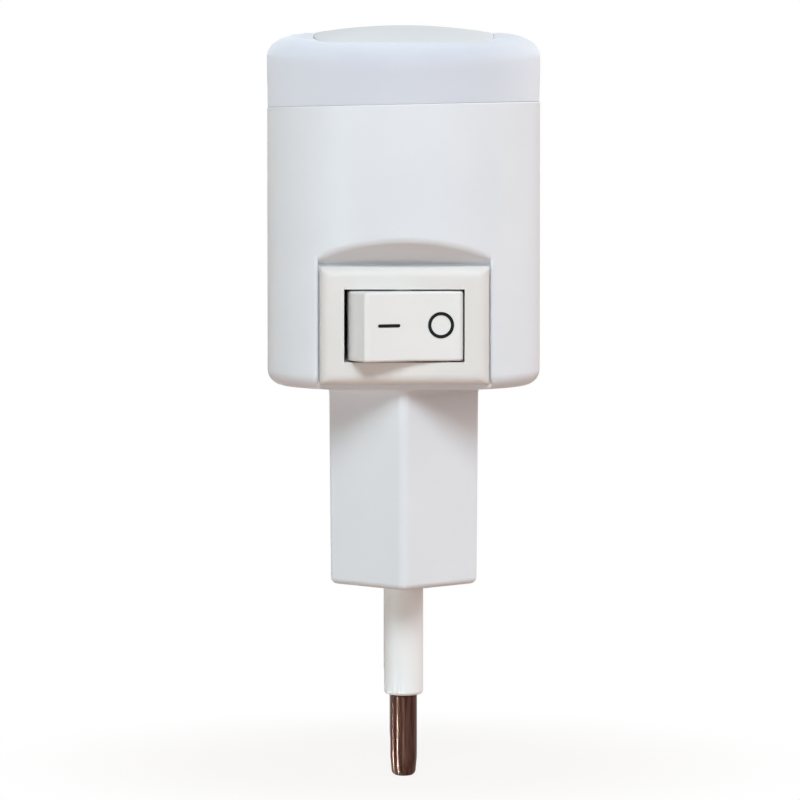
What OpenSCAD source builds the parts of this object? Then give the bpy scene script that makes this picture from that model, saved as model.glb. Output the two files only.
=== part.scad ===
// Plug-in night light: a white shell with a two-pin plug, a rocker switch and a translucent cap.
// Frame: +Z up, origin on the plug's face midway between the pins, switch on the -Y side.

/* [Shell] */
// Width of the head across its flat sides
head_w = 26.4; // [25.4:0.2:30]
// Depth of the head from its switch side to its back
head_d = 44; // [43:0.5:54]
// Height of the white shell from the head's underside to the seam
shell_h = 27.1; // [26:0.1:36]
// Wall of the shell
shell_t = 1.8; // [1.2:0.1:2.2]
// Radius of the head's lower edge
foot_r = 1.5; // [0.5:0.1:2]

/* [Plug] */
// Height of the plug neck below the head
neck_h = 19.3; // [18:0.1:26]
// Length of the plug neck between its two ridges
neck_l = 35.3; // [34.6:0.1:36]
// Width of the plug neck between its flat sides
neck_w = 14.4; // [13:0.1:15]
// Radius of the neck's upright edges
neck_r = 0.8; // [0.3:0.1:1.2]
// Wall of the hollow neck
neck_t = 1.7; // [1.2:0.1:2.2]
// Thickness of the neck's floor, which holds the pins
neck_floor = 4; // [3:0.5:6]
// Draft: how much the neck's sides draw in from top to bottom, each side
neck_draft = 0.15; // [0:0.05:0.3]

/* [Pins] */
// Length of each pin below the plug's face
pin_l = 18.9; // [17:0.1:20]
// Distance between the pins at the plug's face
pin_pitch = 18.6; // [18:0.1:19]
// Distance between the pins at their tips
tip_pitch = 17.5; // [17:0.1:18.5]
// Diameter of the bare metal
pin_d = 2.6; // [2.4:0.1:4]
// Diameter of the pin's shank inside the sleeve and the neck
shank_d = 2.2; // [1.8:0.1:2.3]
// Outer diameter of the insulating sleeve
sleeve_d = 3.8; // [3.4:0.1:4]
// Length of the sleeve below the plug's face
sleeve_l = 10.9; // [8:0.1:11]
// Length of each pin above the neck's floor, where a lead is soldered
tail_l = 5; // [3:0.5:7]

/* [Cap] */
// Height of the translucent cap above the seam, at its flat top's middle
cap_h = 7; // [6.5:0.1:10]
// Wall of the cap
cap_t = 1.5; // [1:0.1:2]
// Radius of the cap's upper edge
cap_r = 1.9; // [1:0.1:2.5]
// How far the cap's top falls from its middle to its front and back
cap_fall = 1.7; // [0.5:0.1:2.2]
// Slope of the seam between shell and cap, rising towards +X as on the photographed light
seam_a = 1.2; // [0:0.1:2]
// Depth of the cap's skirt inside the shell
skirt_h = 2; // [1:0.1:3]
// Wall of the skirt
skirt_t = 1.2; // [0.8:0.1:1.6]

/* [Lens] */
// Width of the lens in the cap's top
lens_w = 17.4; // [14:0.2:19]
// Length of the lens from front to back
lens_l = 36; // [28:0.5:38]
// Height of the lens dome above the cap
lens_rise = 0.75; // [0.3:0.05:1.5]
// Thickness of the lens at its rim
lens_t = 0.9; // [0.6:0.1:1.2]

/* [Pocket] */
// Depth of the switch pocket below the shell's foremost line
pocket_deep = 3.8; // [3:0.1:4.4]
// Width of the pocket
pocket_w = 16.5; // [16.4:0.1:18]
// Angle of the pocket's roof, which makes its arch
roof_a = 30.5; // [15:0.5:40]
// Thickness of the panel at the bottom of the pocket
panel_t = 1.6; // [1.2:0.1:2]

/* [Switch] */
// Width of the switch frame
frame_w = 16.1; // [15.6:0.1:16.4]
// Height of the switch frame
frame_h = 11.3; // [10.5:0.1:12]
// How far the frame stands out of the panel
frame_t = 1.9; // [1.4:0.1:2.4]
// Radius of the frame's front edges
frame_r = 1.1; // [0.4:0.1:1.3]
// Step between the frame and the underside of the head
frame_up = 0.5; // [0.3:0.1:2]
// Width of the switch body behind the panel
body_w = 13.2; // [13:0.1:13.8]
// Height of the switch body behind the panel
body_h = 8.7; // [8.5:0.1:9.2]
// Depth of the switch body behind the panel
body_d = 11.2; // [11:0.1:12]

/* [Rocker] */
// Length of the window that the rocker fills
window_w = 11.4; // [11:0.1:11.8]
// Height of the window
window_h = 6.9; // [6:0.1:7.2]
// Gap between the rocker and each end of its window
end_gap = 0.12; // [0.1:0.02:0.3]
// Gap between the rocker and the window's upper and lower sides
side_gap = 0.1; // [0.08:0.01:0.25]
// Tilt of the rocker from level, each way
tilt = 17.5; // [12:0.5:18]
// Depth of the rocker's axle behind the frame's front
axle_in = 1.6; // [1.6:0.1:2.2]
// Radius of the rocker's axle
axle_r = 0.9; // [0.6:0.05:1]
// Running clearance of the axle in its bores
axle_fit = 0.05; // [0.02:0.01:0.08]
// Angle of each half of the rocker's hollow face
dish_a = 8; // [2:0.5:10]

/* [Marks] */
// Distance of the dash from the rocker's middle
dash_x = 2.45; // [2:0.05:2.9]
// Distance of the ring from the rocker's middle
ring_x = 2.75; // [2:0.05:3]
// Height of both marks above the rocker's middle
mark_up = 0.1; // [-0.5:0.1:0.5]
// Outer diameter of the ring
ring_d = 2.5; // [1.6:0.05:2.8]
// Length of the dash
dash_l = 2.3; // [1.4:0.05:2.6]
// Width of both printed lines
line_w = 0.31; // [0.15:0.01:0.4]
// Thickness of the print
print_t = 0.04; // [0.03:0.01:0.1]

/* [Contacts] */
// Distance of the lever's pivot behind the rocker's axle
lever_in = 8.2; // [8:0.1:8.6]
// Swing of the contact lever from one stop to the other
lever_swing = 18; // [14:0.5:18]
// Rise of each arm of the contact lever
arm_a = 12; // [10:0.5:13]
// Length of each arm of the contact lever
arm_l = 4.6; // [4:0.1:5]
// Thickness of the lever and its terminals
blade_t = 0.5; // [0.4:0.05:0.6]
// Width of the lever and its terminals
blade_w = 3; // [2:0.1:3.6]
// Length of the terminals behind the switch body
tab_l = 5; // [3:0.5:6]

/* [Electronics] */
// Thickness of the circuit board
board_t = 1.2; // [0.8:0.1:1.6]
// Gap between the circuit board and the shell's wall
board_gap = 0.3; // [0.2:0.05:0.6]
// Side of each square light-emitting diode
led_w = 5; // [3:0.1:5.4]
// Distance between neighbouring diodes
led_pitch = 11; // [8:0.5:12]
// Width of the film capacitor
film_w = 5.5; // [4:0.5:6]
// Length of the film capacitor
film_l = 12.5; // [12:0.5:13.5]
// Height of the film capacitor
film_h = 10.5; // [8:0.5:12]
// Diameter of the smoothing capacitor
can_d = 6.3; // [5:0.1:6.5]
// Height of the smoothing capacitor
can_h = 11; // [8:0.5:11]
// Diameter of the insulated leads
lead_d = 1.3; // [0.8:0.1:1.5]

/* [Hidden] */
$fn = 96;

white = [0.93, 0.93, 0.94];
ivory = [0.92, 0.91, 0.89];
frost = [0.86, 0.90, 0.97];
ink = [0.09, 0.10, 0.12];
nickel = [0.62, 0.56, 0.52];
brass = [0.80, 0.66, 0.36];

eps = 0.02;      // overlap where two shapes of one piece are fused
seat = 0.03;     // gap where one piece is laid on or slid into another
cut = 1;         // how far a cutting shape stands out of what it cuts
head_r = head_w / 2;
end_y = head_d / 2 - head_r;            // centres of the head's round ends
seam_z = neck_h + shell_h;              // height of the seam at the middle of the head
seam_rise = head_r * tan(seam_a);
relief = 0.2;                           // shallow relief round each sleeve in the plug's face
relief_h = 0.3;
cap_top = seam_z + cap_h;
pin_turn = atan((pin_pitch - tip_pitch) / 2 / pin_l);
flange_z = neck_floor + 0.12;           // each pin's flange just clears the neck's floor, as the pins lean
tail_z = flange_z + tail_l;

floor_y = pocket_deep - head_d / 2;     // front of the panel
frame_y = floor_y - frame_t;            // front of the switch frame
switch_z = neck_h + frame_up + frame_h / 2;
roof_gap = 0.15;                        // between the frame and the pocket's roof
roof_z = switch_z + frame_h / 2 + roof_gap;
lintel = 3.8;                           // wall kept above the pocket's roof
body_gap = 0.15;                        // between the switch body and the hole in the panel

axle_y = frame_y + axle_in;
rocker_r = window_w / 2 - end_gap;      // reach of the rocker's ends
face_v = axle_in - 0.02;                // height of the pressed corner above the axle
corner_r = sqrt(rocker_r * rocker_r + face_v * face_v);
corner_a = atan2(face_v, rocker_r) + tilt;
corner = corner_r * [cos(corner_a), sin(corner_a)];
crease_v = corner.y - corner.x * tan(dish_a);
rocker_h = window_h - 2 * side_gap;
axle_deep = 0.6;                        // depth of the axle's bores in the window's sides
end_float = 0.15;                       // gap between each end of the axle and its bore's bottom
end_sweep = 24;                         // how far the rocker's round ends go on below the axle, degrees

knife_r = 0.25;                         // round edge that the lever rocks on
knife_gap = 0.07;
stem_w = 3.6;                           // the rocker's stem, which holds the plunger
stem_v = -5.9;
bore_r = 1.05;
bore_top_v = -1.2;
tip_gap = 0.1;                          // between the plunger and the lever at mid travel
tip_v = -(lever_in - knife_r - blade_t / cos(arm_a) - tip_gap);
tip_r = 0.8;                            // round end of the plunger
tip_neck = 0.4;                         // straight length between its round end and its head
head_v = tip_v + tip_r + tip_neck;      // lower side of the plunger's head
plunger_r = bore_r - 0.08;
plunger_head = 1.8;
guide_l = 1;                            // peg on the plunger's head, inside the spring
guide_r = 0.35;
spring_wire = 0.26;
spring_turns = 6;

lever_y = axle_y + lever_in;
base_t = 1.2;                           // base of the switch body
cavity_y = floor_y + body_d - base_t;
tab_end_y = floor_y + body_d + tab_l;
button_r = 0.9;
button_h = 0.35;
net_a = arm_a - lever_swing / 2;        // slope of the arm that is down
side_x = 3.9;                           // side terminal and the lever's buttons
stop_gap = 0.1;                         // between a button of the lever and what it lands on
contact_y = lever_y - knife_r - side_x * tan(net_a) + button_h / cos(net_a) + stop_gap;
stop_w = 1.6;                           // rib that stops the lever on the side with no terminal

skirt_fit = 0.1;
board_top = seam_z - skirt_h - 0.2;
board_z = board_top - board_t;
rib_w = 2;
rib_in = 1.6;
rib_y = 6;

led_h = 1.5;
film_y = end_y + 0.4;
film_pitch = 10;                        // distance between its legs
can_at = [-0.41 * head_r, -5.2];
bridge_size = [6.4, 8.2, 3.2];
bridge_at = [0.42 * head_r, -5.4];
bridge_pitch = 5;
can_pitch = 2.5;
leg_r = 0.3;
leg_hole_r = 0.45;
leg_up = 0.8;                           // how far the legs stand out above the board
resistor_drop = 3;                      // height of each resistor's axis below the board
resistor_y = film_y;
discharge_x = head_r / 2;
discharge_size = [2.4, 6.5];
fuse_x = -head_r / 2 - 0.3;
fuse_size = [3.2, 9];
resistor_leg = 1.5;                     // straight run of the legs beyond the body
leg_low = 1;                            // how far the other legs reach into their bodies

legs_film = [for (s = [-1, 1]) [0, film_y + s * film_pitch / 2]];
legs_can = [for (s = [-1, 1]) can_at + [s * can_pitch / 2, 0]];
legs_bridge = [for (s = [-1, 1], t = [-1, 1]) bridge_at + bridge_pitch / 2 * [s, t]];
function resistor_ends(x, size) = [for (s = [-1, 1]) [x, resistor_y + s * (size.y / 2 + resistor_leg)]];
legs_discharge = resistor_ends(discharge_x, discharge_size);
legs_fuse = resistor_ends(fuse_x, fuse_size);

// ---- Shapes used by several pieces ----

// Oblong prism with round ends, drawn in by inset, from z0 to z1
module oblong(inset, z0, z1) {
    r = head_r - inset;
    for (s = [-1, 1]) translate([0, s * end_y, z0]) cylinder(r = r, h = z1 - z0);
    translate([-r, -end_y, z0]) cube([2 * r, 2 * end_y, z1 - z0]);
}

// Half section of the head, with its round lower edge, up to the seam's highest point
module head_profile() {
    high = shell_h + seam_rise;
    translate([0, neck_h]) square([head_r - foot_r, high]);
    translate([0, neck_h + foot_r]) square([head_r, high - foot_r]);
    translate([head_r - foot_r, neck_h + foot_r]) circle(r = foot_r);
}

module head_solid() {
    for (s = [-1, 1]) translate([0, s * end_y, 0]) rotate_extrude() intersection() {
        head_profile();
        translate([0, neck_h]) square([head_r, shell_h + seam_rise]);
    }
    rotate([90, 0, 0]) linear_extrude(2 * end_y, center = true) {
        head_profile();
        mirror([1, 0]) head_profile();
    }
}

// Space above the sloping seam
module above_seam() {
    translate([0, 0, seam_z]) rotate([0, -seam_a, 0]) translate([-head_w, -head_d, 0])
        cube([2 * head_w, 2 * head_d, 2 * seam_rise + cut]);
}

// Thin six-sided slice of the neck with rounded corners
module neck_slice(inset, z) {
    w = neck_w - 2 * inset;
    l = neck_l - 2 * inset * sqrt(2);
    translate([0, 0, z]) linear_extrude(eps) {
        for (s = [-1, 1]) translate([0, s * (l / 2 - neck_r)]) circle(r = neck_r, $fn = 32);
        for (s = [-1, 1], t = [-1, 1])
            translate([s * (w / 2 - neck_r), t * (l - w) / 2]) circle(r = neck_r, $fn = 32);
    }
}

module neck_solid() {
    edge = 0.35;
    hull() {
        neck_slice(neck_draft + edge, 0);
        neck_slice(neck_draft + edge * 0.3, edge * 0.3);
        neck_slice(neck_draft, edge);
        neck_slice(0, neck_h);
    }
}

// Small flare where the neck meets the head
module neck_flare() {
    flare = 0.7;
    hull() {
        neck_slice(0, neck_h - flare);
        neck_slice(-flare, neck_h);
    }
}

module neck_hollow() {
    w = neck_w / 2 - neck_draft - neck_t;
    l = neck_l / 2 - (neck_draft + neck_t) * sqrt(2);
    translate([0, 0, neck_floor]) linear_extrude(neck_h + shell_t + cut - neck_floor)
        polygon([[0, -l], [w, w - l], [w, l - w], [0, l], [-w, l - w], [-w, w - l]]);
}

// Moves its children onto a pin: side -1 is the front pin, side 1 the rear pin, Z along the pin
module on_pin(side) {
    translate([0, side * pin_pitch / 2, 0]) rotate([-side * pin_turn, 0, 0]) children();
}

// Section of the pocket, seen from the side, from y_in at its bottom to the open air
module pocket_side(y_in, z_low, z_top) {
    front = -head_d / 2 - cut;
    rise = (y_in - front) * tan(roof_a);
    rotate([90, 0, 90]) linear_extrude(pocket_w, center = true)
        polygon([[y_in, z_low], [y_in, z_top], [front, z_top + rise], [front, z_low]]);
}

// ---- Shell and cap ----

// Wall behind the pocket, which closes the shell there and carries the switch
module panel_block() {
    wide = pocket_w / 2 + shell_t;
    intersection() {
        head_solid();
        translate([-wide, -head_d / 2, neck_h])
            cube([2 * wide, floor_y + panel_t + head_d / 2, roof_z + lintel - neck_h]);
    }
}

module board_ribs() {
    for (s = [-1, 1], t = [-1, 1])
        translate([s * (head_r - shell_t - rib_in / 2 + eps), t * rib_y, neck_h + shell_t - eps])
            translate([-rib_in / 2 - eps, -rib_w / 2, 0])
                cube([rib_in + 2 * eps, rib_w, board_z - seat - neck_h - shell_t + eps]);
}

// Hole in the panel for the switch body, with room behind it, down into the head's floor
module body_room() {
    wide = body_w + 2 * body_gap;
    high = body_h + 2 * body_gap;
    translate([-wide / 2, floor_y - cut, switch_z - high / 2]) cube([wide, body_d + body_gap + cut, high]);
}

module housing() {
    color(white) difference() {
        union() {
            difference() {
                head_solid();
                oblong(shell_t, neck_h + shell_t, seam_z + seam_rise + cut);
                above_seam();
            }
            panel_block();
            board_ribs();
            neck_solid();
            neck_flare();
        }
        neck_hollow();
        pocket_side(floor_y, neck_h - cut, roof_z);
        body_room();
        for (side = [-1, 1]) on_pin(side) {
            translate([0, 0, -cut]) cylinder(r = sleeve_d / 2 + seat, h = neck_floor / 2 + cut);
            translate([0, 0, -cut]) cylinder(r = sleeve_d / 2 + relief, h = relief_h + cut);
            cylinder(r = shank_d / 2 + seat, h = neck_floor + cut);
        }
    }
}

// Plan outline of the head as points: end arcs and points along the straight sides
arc_n = 32;
side_n = 6;
function head_outline() = [
    for (k = [0 : arc_n]) [head_r * cos(k * 180 / arc_n), head_r * sin(k * 180 / arc_n) + end_y],
    for (k = [1 : side_n - 1]) [-head_r, end_y - 2 * end_y * k / side_n],
    for (k = [0 : arc_n]) [-head_r * cos(k * 180 / arc_n), -head_r * sin(k * 180 / arc_n) - end_y],
    for (k = [1 : side_n - 1]) [head_r, -end_y + 2 * end_y * k / side_n]
];
outline = head_outline();
ray_n = len(outline);

// Point i of the outline drawn in by inset
function inset_at(i, inset) =
    let (p = outline[i], c = [0, max(-end_y, min(end_y, p.y))], v = p - c)
    c + v * (head_r - inset) / head_r;

// Point of the lens's outline on the ray through point i, as a superellipse
lens_power = 8;
function lens_at(i, grow, share) =
    let (p = outline[i], u = p / norm(p),
        a = abs(u.x) / (lens_w / 2 + grow), b = abs(u.y) / (lens_l / 2 + grow))
    u * share / pow(pow(a, lens_power) + pow(b, lens_power), 1 / lens_power);

// Height of the cap's flat top at a distance y from the middle
function top_z(y) = cap_top - cap_fall * pow(y / (head_d / 2), 2);
function lift(p, z) = [p.x, p.y, z];

// One ring of the cap, drawn in by inset: level, just above the seam, or down below the arched top
function wall_ring(inset, z) = [for (i = [0 : ray_n - 1]) lift(inset_at(i, inset), z)];
function seam_ring(inset) =
    [for (i = [0 : ray_n - 1]) let (p = inset_at(i, inset)) lift(p, seam_z + seat + p.x * tan(seam_a))];
function top_ring(inset, down) =
    [for (i = [0 : ray_n - 1]) let (p = inset_at(i, inset)) lift(p, top_z(p.y) - down)];
function lens_ring(grow, share, down) =
    [for (i = [0 : ray_n - 1]) let (p = lens_at(i, grow, share)) lift(p, top_z(p.y) - down)];

// Joins rings into a closed band: the last ring is joined to the first
module ring_band(rings) {
    m = len(rings);
    points = [for (r = rings) for (p = r) p];
    faces = [for (j = [0 : m - 1], i = [0 : ray_n - 1])
        let (a = j * ray_n + i, b = j * ray_n + (i + 1) % ray_n,
            c = ((j + 1) % m) * ray_n + (i + 1) % ray_n, d = ((j + 1) % m) * ray_n + i)
        each [[a, c, b], [a, d, c]]];
    polyhedron(points, faces);
}

module diffuser() {
    fillet_steps = 6;
    skirt_out = shell_t + skirt_fit;
    skirt_in = skirt_out + skirt_t;
    skirt_z = seam_z - skirt_h;
    ledge = 0.92;        // the lens lies on a ledge inside this share of its outline
    ledge_t = 0.3;       // extra thickness at the ledge's edge
    bevel = 1;           // inside, between the cap's top and its wall
    slope = 1.6;         // inside, height of the slope from the wall to the skirt
    color(frost) ring_band(concat(
        [seam_ring(0)],
        [for (k = [0 : fillet_steps]) let (a = 90 * k / fillet_steps)
            top_ring(cap_r * (1 - cos(a)), cap_r * (1 - sin(a)))],
        [lens_ring(seat, 1, 0), lens_ring(seat, 1, lens_t + seat)],
        [lens_ring(0, ledge, lens_t + seat), lens_ring(0, ledge, cap_t + ledge_t)],
        [top_ring(cap_t + bevel, cap_t), top_ring(cap_t, cap_t + bevel)],
        [wall_ring(cap_t, seam_z + slope), wall_ring(skirt_in, seam_z)],
        [wall_ring(skirt_in, skirt_z), wall_ring(skirt_out, skirt_z)],
        [seam_ring(skirt_out)]));
}

module top_lens() {
    shares = [1, 0.97, 0.9, 0.8, 0.68, 0.54, 0.38, 0.2];
    under = [0.2, 0.38, 0.54, 0.68, 0.8, 0.92, 1];
    rings = concat([for (s = under) lens_ring(0, s, lens_t)],
        [for (s = shares) lens_ring(0, s, -lens_rise * (1 - s * s))]);
    m = len(rings);
    points = concat([for (r = rings) for (p = r) p],
        [[0, 0, cap_top + lens_rise], [0, 0, cap_top - lens_t]]);
    peak = m * ray_n;
    bands = [for (j = [0 : m - 2], i = [0 : ray_n - 1])
        let (a = j * ray_n + i, b = j * ray_n + (i + 1) % ray_n, c = b + ray_n, d = a + ray_n)
        each [[a, c, b], [a, d, c]]];
    closing = [for (i = [0 : ray_n - 1]) let (j = (i + 1) % ray_n)
        each [[peak, peak - ray_n + j, peak - ray_n + i], [peak + 1, i, j]]];
    color([0.95, 0.95, 0.96]) polyhedron(points, concat(bands, closing));
}

// ---- Pins ----

module sleeve(side) {
    soft = 0.4;          // radius of the sleeve's lower edge
    color(white) on_pin(side) difference() {
        rotate_extrude() {
            translate([0, -sleeve_l + soft]) square([sleeve_d / 2, sleeve_l - soft + neck_floor / 2 - seat]);
            translate([0, -sleeve_l]) square([sleeve_d / 2 - soft, soft + eps]);
            translate([sleeve_d / 2 - soft, soft - sleeve_l]) circle(r = soft);
        }
        translate([0, 0, -sleeve_l - cut]) cylinder(r = shank_d / 2 + seat, h = sleeve_l + neck_floor + cut);
    }
}
module front_sleeve() { sleeve(-1); }
module rear_sleeve() { sleeve(1); }

module pin(side) {
    r = pin_d / 2;
    nose = 0.55;         // radius of the rounded end
    taper_l = 1.9;       // the last of the metal draws in by taper
    taper = 0.12;
    flange_t = 1;
    flange_r = shank_d / 2 + 1;
    shoulder_z = -sleeve_l - seat;
    color(nickel) on_pin(side) {
        rotate_extrude() {
            polygon([[0, nose - pin_l], [r - taper, nose - pin_l], [r, taper_l - pin_l],
                [r, shoulder_z], [shank_d / 2, shoulder_z], [shank_d / 2, tail_z], [0, tail_z]]);
            translate([0, -pin_l]) square([r - taper - nose, nose + eps]);
            translate([r - taper - nose, nose - pin_l]) circle(r = nose);
        }
        translate([0, 0, flange_z]) cylinder(r = flange_r, h = flange_t);
    }
}
module front_pin() { pin(-1); }
module rear_pin() { pin(1); }

// ---- Switch ----

// Frame's plate with its four front edges rounded
module frame_plate() {
    back = frame_t - seat;
    module rounded_side(w) {
        translate([-w / 2, frame_r]) square([w, back - frame_r]);
        translate([frame_r - w / 2, 0]) square([w - 2 * frame_r, back]);
        for (s = [-1, 1]) translate([s * (w / 2 - frame_r), frame_r]) intersection() {
            circle(r = frame_r);
            translate([-frame_r, -frame_r]) square([2 * frame_r, back]);
        }
    }
    translate([0, frame_y, switch_z]) intersection() {
        linear_extrude(frame_h, center = true) rounded_side(frame_w);
        rotate([0, 90, 0]) linear_extrude(frame_w, center = true) rounded_side(frame_h);
    }
}

module terminal_slot(x) {
    translate([x, cavity_y + base_t / 2, switch_z])
        cube([blade_t + 2 * seat, base_t + 2 * cut, blade_w + 2 * seat], center = true);
}

// Spring clip on one end of the switch body, behind the panel
module clip(side) {
    catch_y = floor_y + panel_t + body_gap / 2;
    reach = 0.5;
    flat = 0.6;
    ramp = 3;
    translate([side * body_w / 2, catch_y, switch_z]) linear_extrude(blade_w, center = true)
        polygon([[-side * eps, 0], [side * reach, 0], [side * reach, flat], [-side * eps, ramp]]);
}

module switch_case() {
    color(ivory) difference() {
        union() {
            frame_plate();
            translate([-body_w / 2, frame_y + frame_r, switch_z - body_h / 2])
                cube([body_w, floor_y + body_d - frame_y - frame_r, body_h]);
            for (side = [-1, 1]) clip(side);
        }
        difference() {
            translate([-window_w / 2, frame_y - cut, switch_z - window_h / 2])
                cube([window_w, cavity_y - frame_y + cut, window_h]);
            translate([-side_x, (contact_y + cavity_y + cut) / 2, switch_z])
                cube([stop_w, cavity_y + cut - contact_y, blade_w], center = true);
        }
        translate([0, axle_y, switch_z])
            cylinder(r = axle_r + axle_fit, h = window_h + 2 * axle_deep, center = true);
        terminal_slot(0);
        terminal_slot(side_x);
    }
}

// Moves its children onto the axle at rest: X along the rocker, -Y out of the face
module on_rocker() {
    translate([0, axle_y, switch_z]) rotate([0, 0, tilt]) children();
}

// Half of the rocker's section, on the side s, as points from the face inwards
end_steps = 8;
function rocker_half(s) = concat(
    [[s * corner.x, -corner.y]],
    [for (k = [0 : end_steps]) let (a = tilt - (tilt + end_sweep) * k / end_steps)
        [s * rocker_r * cos(a), -rocker_r * sin(a)]]);

module rocker() {
    left = rocker_half(-1);
    section = concat([[0, -crease_v]], rocker_half(1), [for (i = [len(left) - 1 : -1 : 0]) left[i]]);
    color(white) on_rocker() {
        difference() {
            linear_extrude(rocker_h, center = true) {
                polygon(section);
                translate([-stem_w / 2, 0]) square([stem_w, -stem_v]);
            }
            rotate([-90, 0, 0]) translate([0, 0, -bore_top_v])
                cylinder(r = bore_r, h = bore_top_v - stem_v + cut);
        }
        cylinder(r = axle_r, h = window_h + 2 * (axle_deep - end_float), center = true);
    }
}

// Moves its children onto one half of the rocker's face: +Z out of the face
module on_face(side) {
    away = side < 0 ? dash_x : ring_x;
    on_rocker() translate([0, -crease_v, 0]) rotate([0, 0, -side * dish_a])
        translate([side * away, 0, mark_up]) rotate([90, 0, 0]) children();
}

module dash_mark() {
    long = dash_l - line_w;
    color(ink) on_face(-1) {
        translate([-long / 2, -line_w / 2, 0]) cube([long, line_w, print_t]);
        for (s = [-1, 1]) translate([s * long / 2, 0, 0]) cylinder(r = line_w / 2, h = print_t);
    }
}

module ring_mark() {
    color(ink) on_face(1) difference() {
        cylinder(r = ring_d / 2, h = print_t);
        translate([0, 0, -cut]) cylinder(r = ring_d / 2 - line_w, h = print_t + 2 * cut);
    }
}

// Moves its children into the rocker's bore: +Z inwards from the axle
module in_bore() {
    on_rocker() rotate([-90, 0, 0]) children();
}

module plunger() {
    color(brass) in_bore() rotate_extrude() {
        translate([0, -head_v - plunger_head - guide_l]) square([guide_r, guide_l + eps]);
        translate([0, -head_v - plunger_head]) square([plunger_r, plunger_head]);
        translate([0, -head_v - eps]) square([tip_r, tip_neck + eps]);
        translate([0, -tip_v - tip_r]) intersection() {
            circle(r = tip_r);
            square(tip_r);
        }
    }
}

// ---- Tubes swept along points ----

function unit(v) = v / norm(v);
function along(path, i) =
    unit(path[min(i + 1, len(path) - 1)] - path[max(i - 1, 0)]);

// Tube of radius r along path: up is a direction that the path never takes
module tube(path, r, sides, up) {
    n = len(path);
    rings = [for (i = [0 : n - 1])
        let (t = along(path, i), side = unit(cross(t, up)), top = cross(side, t))
        for (k = [0 : sides - 1]) path[i] + r * (cos(360 * k / sides) * side + sin(360 * k / sides) * top)];
    walls = [for (i = [0 : n - 2], k = [0 : sides - 1])
        let (a = i * sides + k, b = i * sides + (k + 1) % sides)
        each [[a, b, b + sides], [a, b + sides, a + sides]]];
    ends = [for (k = [1 : sides - 2]) each [[0, k + 1, k],
        [(n - 1) * sides, (n - 1) * sides + k, (n - 1) * sides + k + 1]]];
    polyhedron(rings, concat(walls, ends));
}

// Smooth curve through points, with a few steps between each two
function smooth(pts, steps) = [
    for (i = [0 : len(pts) - 2], k = [0 : steps - 1])
        let (a = pts[max(i - 1, 0)], b = pts[i], c = pts[i + 1], d = pts[min(i + 2, len(pts) - 1)])
        let (t = k / steps, m = (c - a) / 2, n = (d - b) / 2)
        b + t * m + t * t * (3 * (c - b) - 2 * m - n) + t * t * t * (2 * (b - c) + m + n),
    pts[len(pts) - 1]
];

module plunger_spring() {
    coil_r = plunger_r - spring_wire / 2 - seat;
    z0 = -bore_top_v + spring_wire / 2 + seat;
    z1 = -head_v - plunger_head - spring_wire / 2 - seat;
    turn_steps = 12;
    steps = spring_turns * turn_steps;
    coil = [for (k = [0 : steps]) let (a = 360 * k / turn_steps)
        [coil_r * cos(a), coil_r * sin(a), z0 + (z1 - z0) * k / steps]];
    color(nickel) in_bore() tube(coil, spring_wire / 2, 6, [0, 0, 1]);
}

// ---- Contacts ----

// Section of the lever about its pivot, level: two arms that rise towards the rocker
module lever_section() {
    reach = arm_l * cos(arm_a);
    rise = arm_l * sin(arm_a);
    thick = blade_t / cos(arm_a);
    inner = [[reach, -rise], [0, 0], [-reach, -rise]];
    polygon(concat(inner, [for (i = [2 : -1 : 0]) inner[i] - [0, thick]]));
}

module contact_lever() {
    color(brass) translate([0, lever_y, switch_z]) rotate([0, 0, -lever_swing / 2]) {
        difference() {
            translate([0, -knife_r, 0]) linear_extrude(blade_w, center = true) lever_section();
            cylinder(r = knife_r + knife_gap, h = blade_w + cut, center = true);
        }
        for (s = [-1, 1]) rotate([0, 0, -s * arm_a]) translate([s * side_x, -knife_r, 0])
            rotate([-90, 0, 0]) translate([0, 0, -eps]) cylinder(r = button_r, h = button_h + eps);
    }
}

// Blade from y0 out through the base of the switch body
module blade(x, y0) {
    translate([x - blade_t / 2, y0, switch_z - blade_w / 2]) cube([blade_t, tab_end_y - y0, blade_w]);
}

module centre_terminal() {
    color(brass) {
        blade(0, lever_y);
        translate([0, lever_y, switch_z]) cylinder(r = knife_r, h = blade_w, center = true);
    }
}

module side_terminal() {
    pad_t = 0.6;
    color(brass) {
        blade(side_x, contact_y);
        translate([side_x, contact_y, switch_z]) rotate([-90, 0, 0]) cylinder(r = button_r, h = pad_t);
    }
}

// ---- Electronics ----

module legs(at, low) {
    for (p = at) translate([p.x, p.y, low]) cylinder(r = leg_r, h = board_top + leg_up - low, $fn = 24);
}

module circuit_board() {
    color([0.16, 0.42, 0.26]) difference() {
        oblong(shell_t + board_gap, board_z, board_top);
        for (p = concat(legs_film, legs_can, legs_bridge, legs_discharge, legs_fuse))
            translate([p.x, p.y, board_z - cut]) cylinder(r = leg_hole_r, h = board_t + 2 * cut, $fn = 24);
    }
}

module led(y) {
    dish_r = 0.4 * led_w;
    dish_deep = 0.3;
    color([0.96, 0.93, 0.75]) translate([0, y, board_top + seat]) difference() {
        translate([-led_w / 2, -led_w / 2, 0]) cube([led_w, led_w, led_h]);
        translate([0, 0, led_h - dish_deep]) cylinder(r = dish_r, h = dish_deep + cut);
    }
}
module led_front() { led(-led_pitch); }
module led_middle() { led(0); }
module led_rear() { led(led_pitch); }

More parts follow.
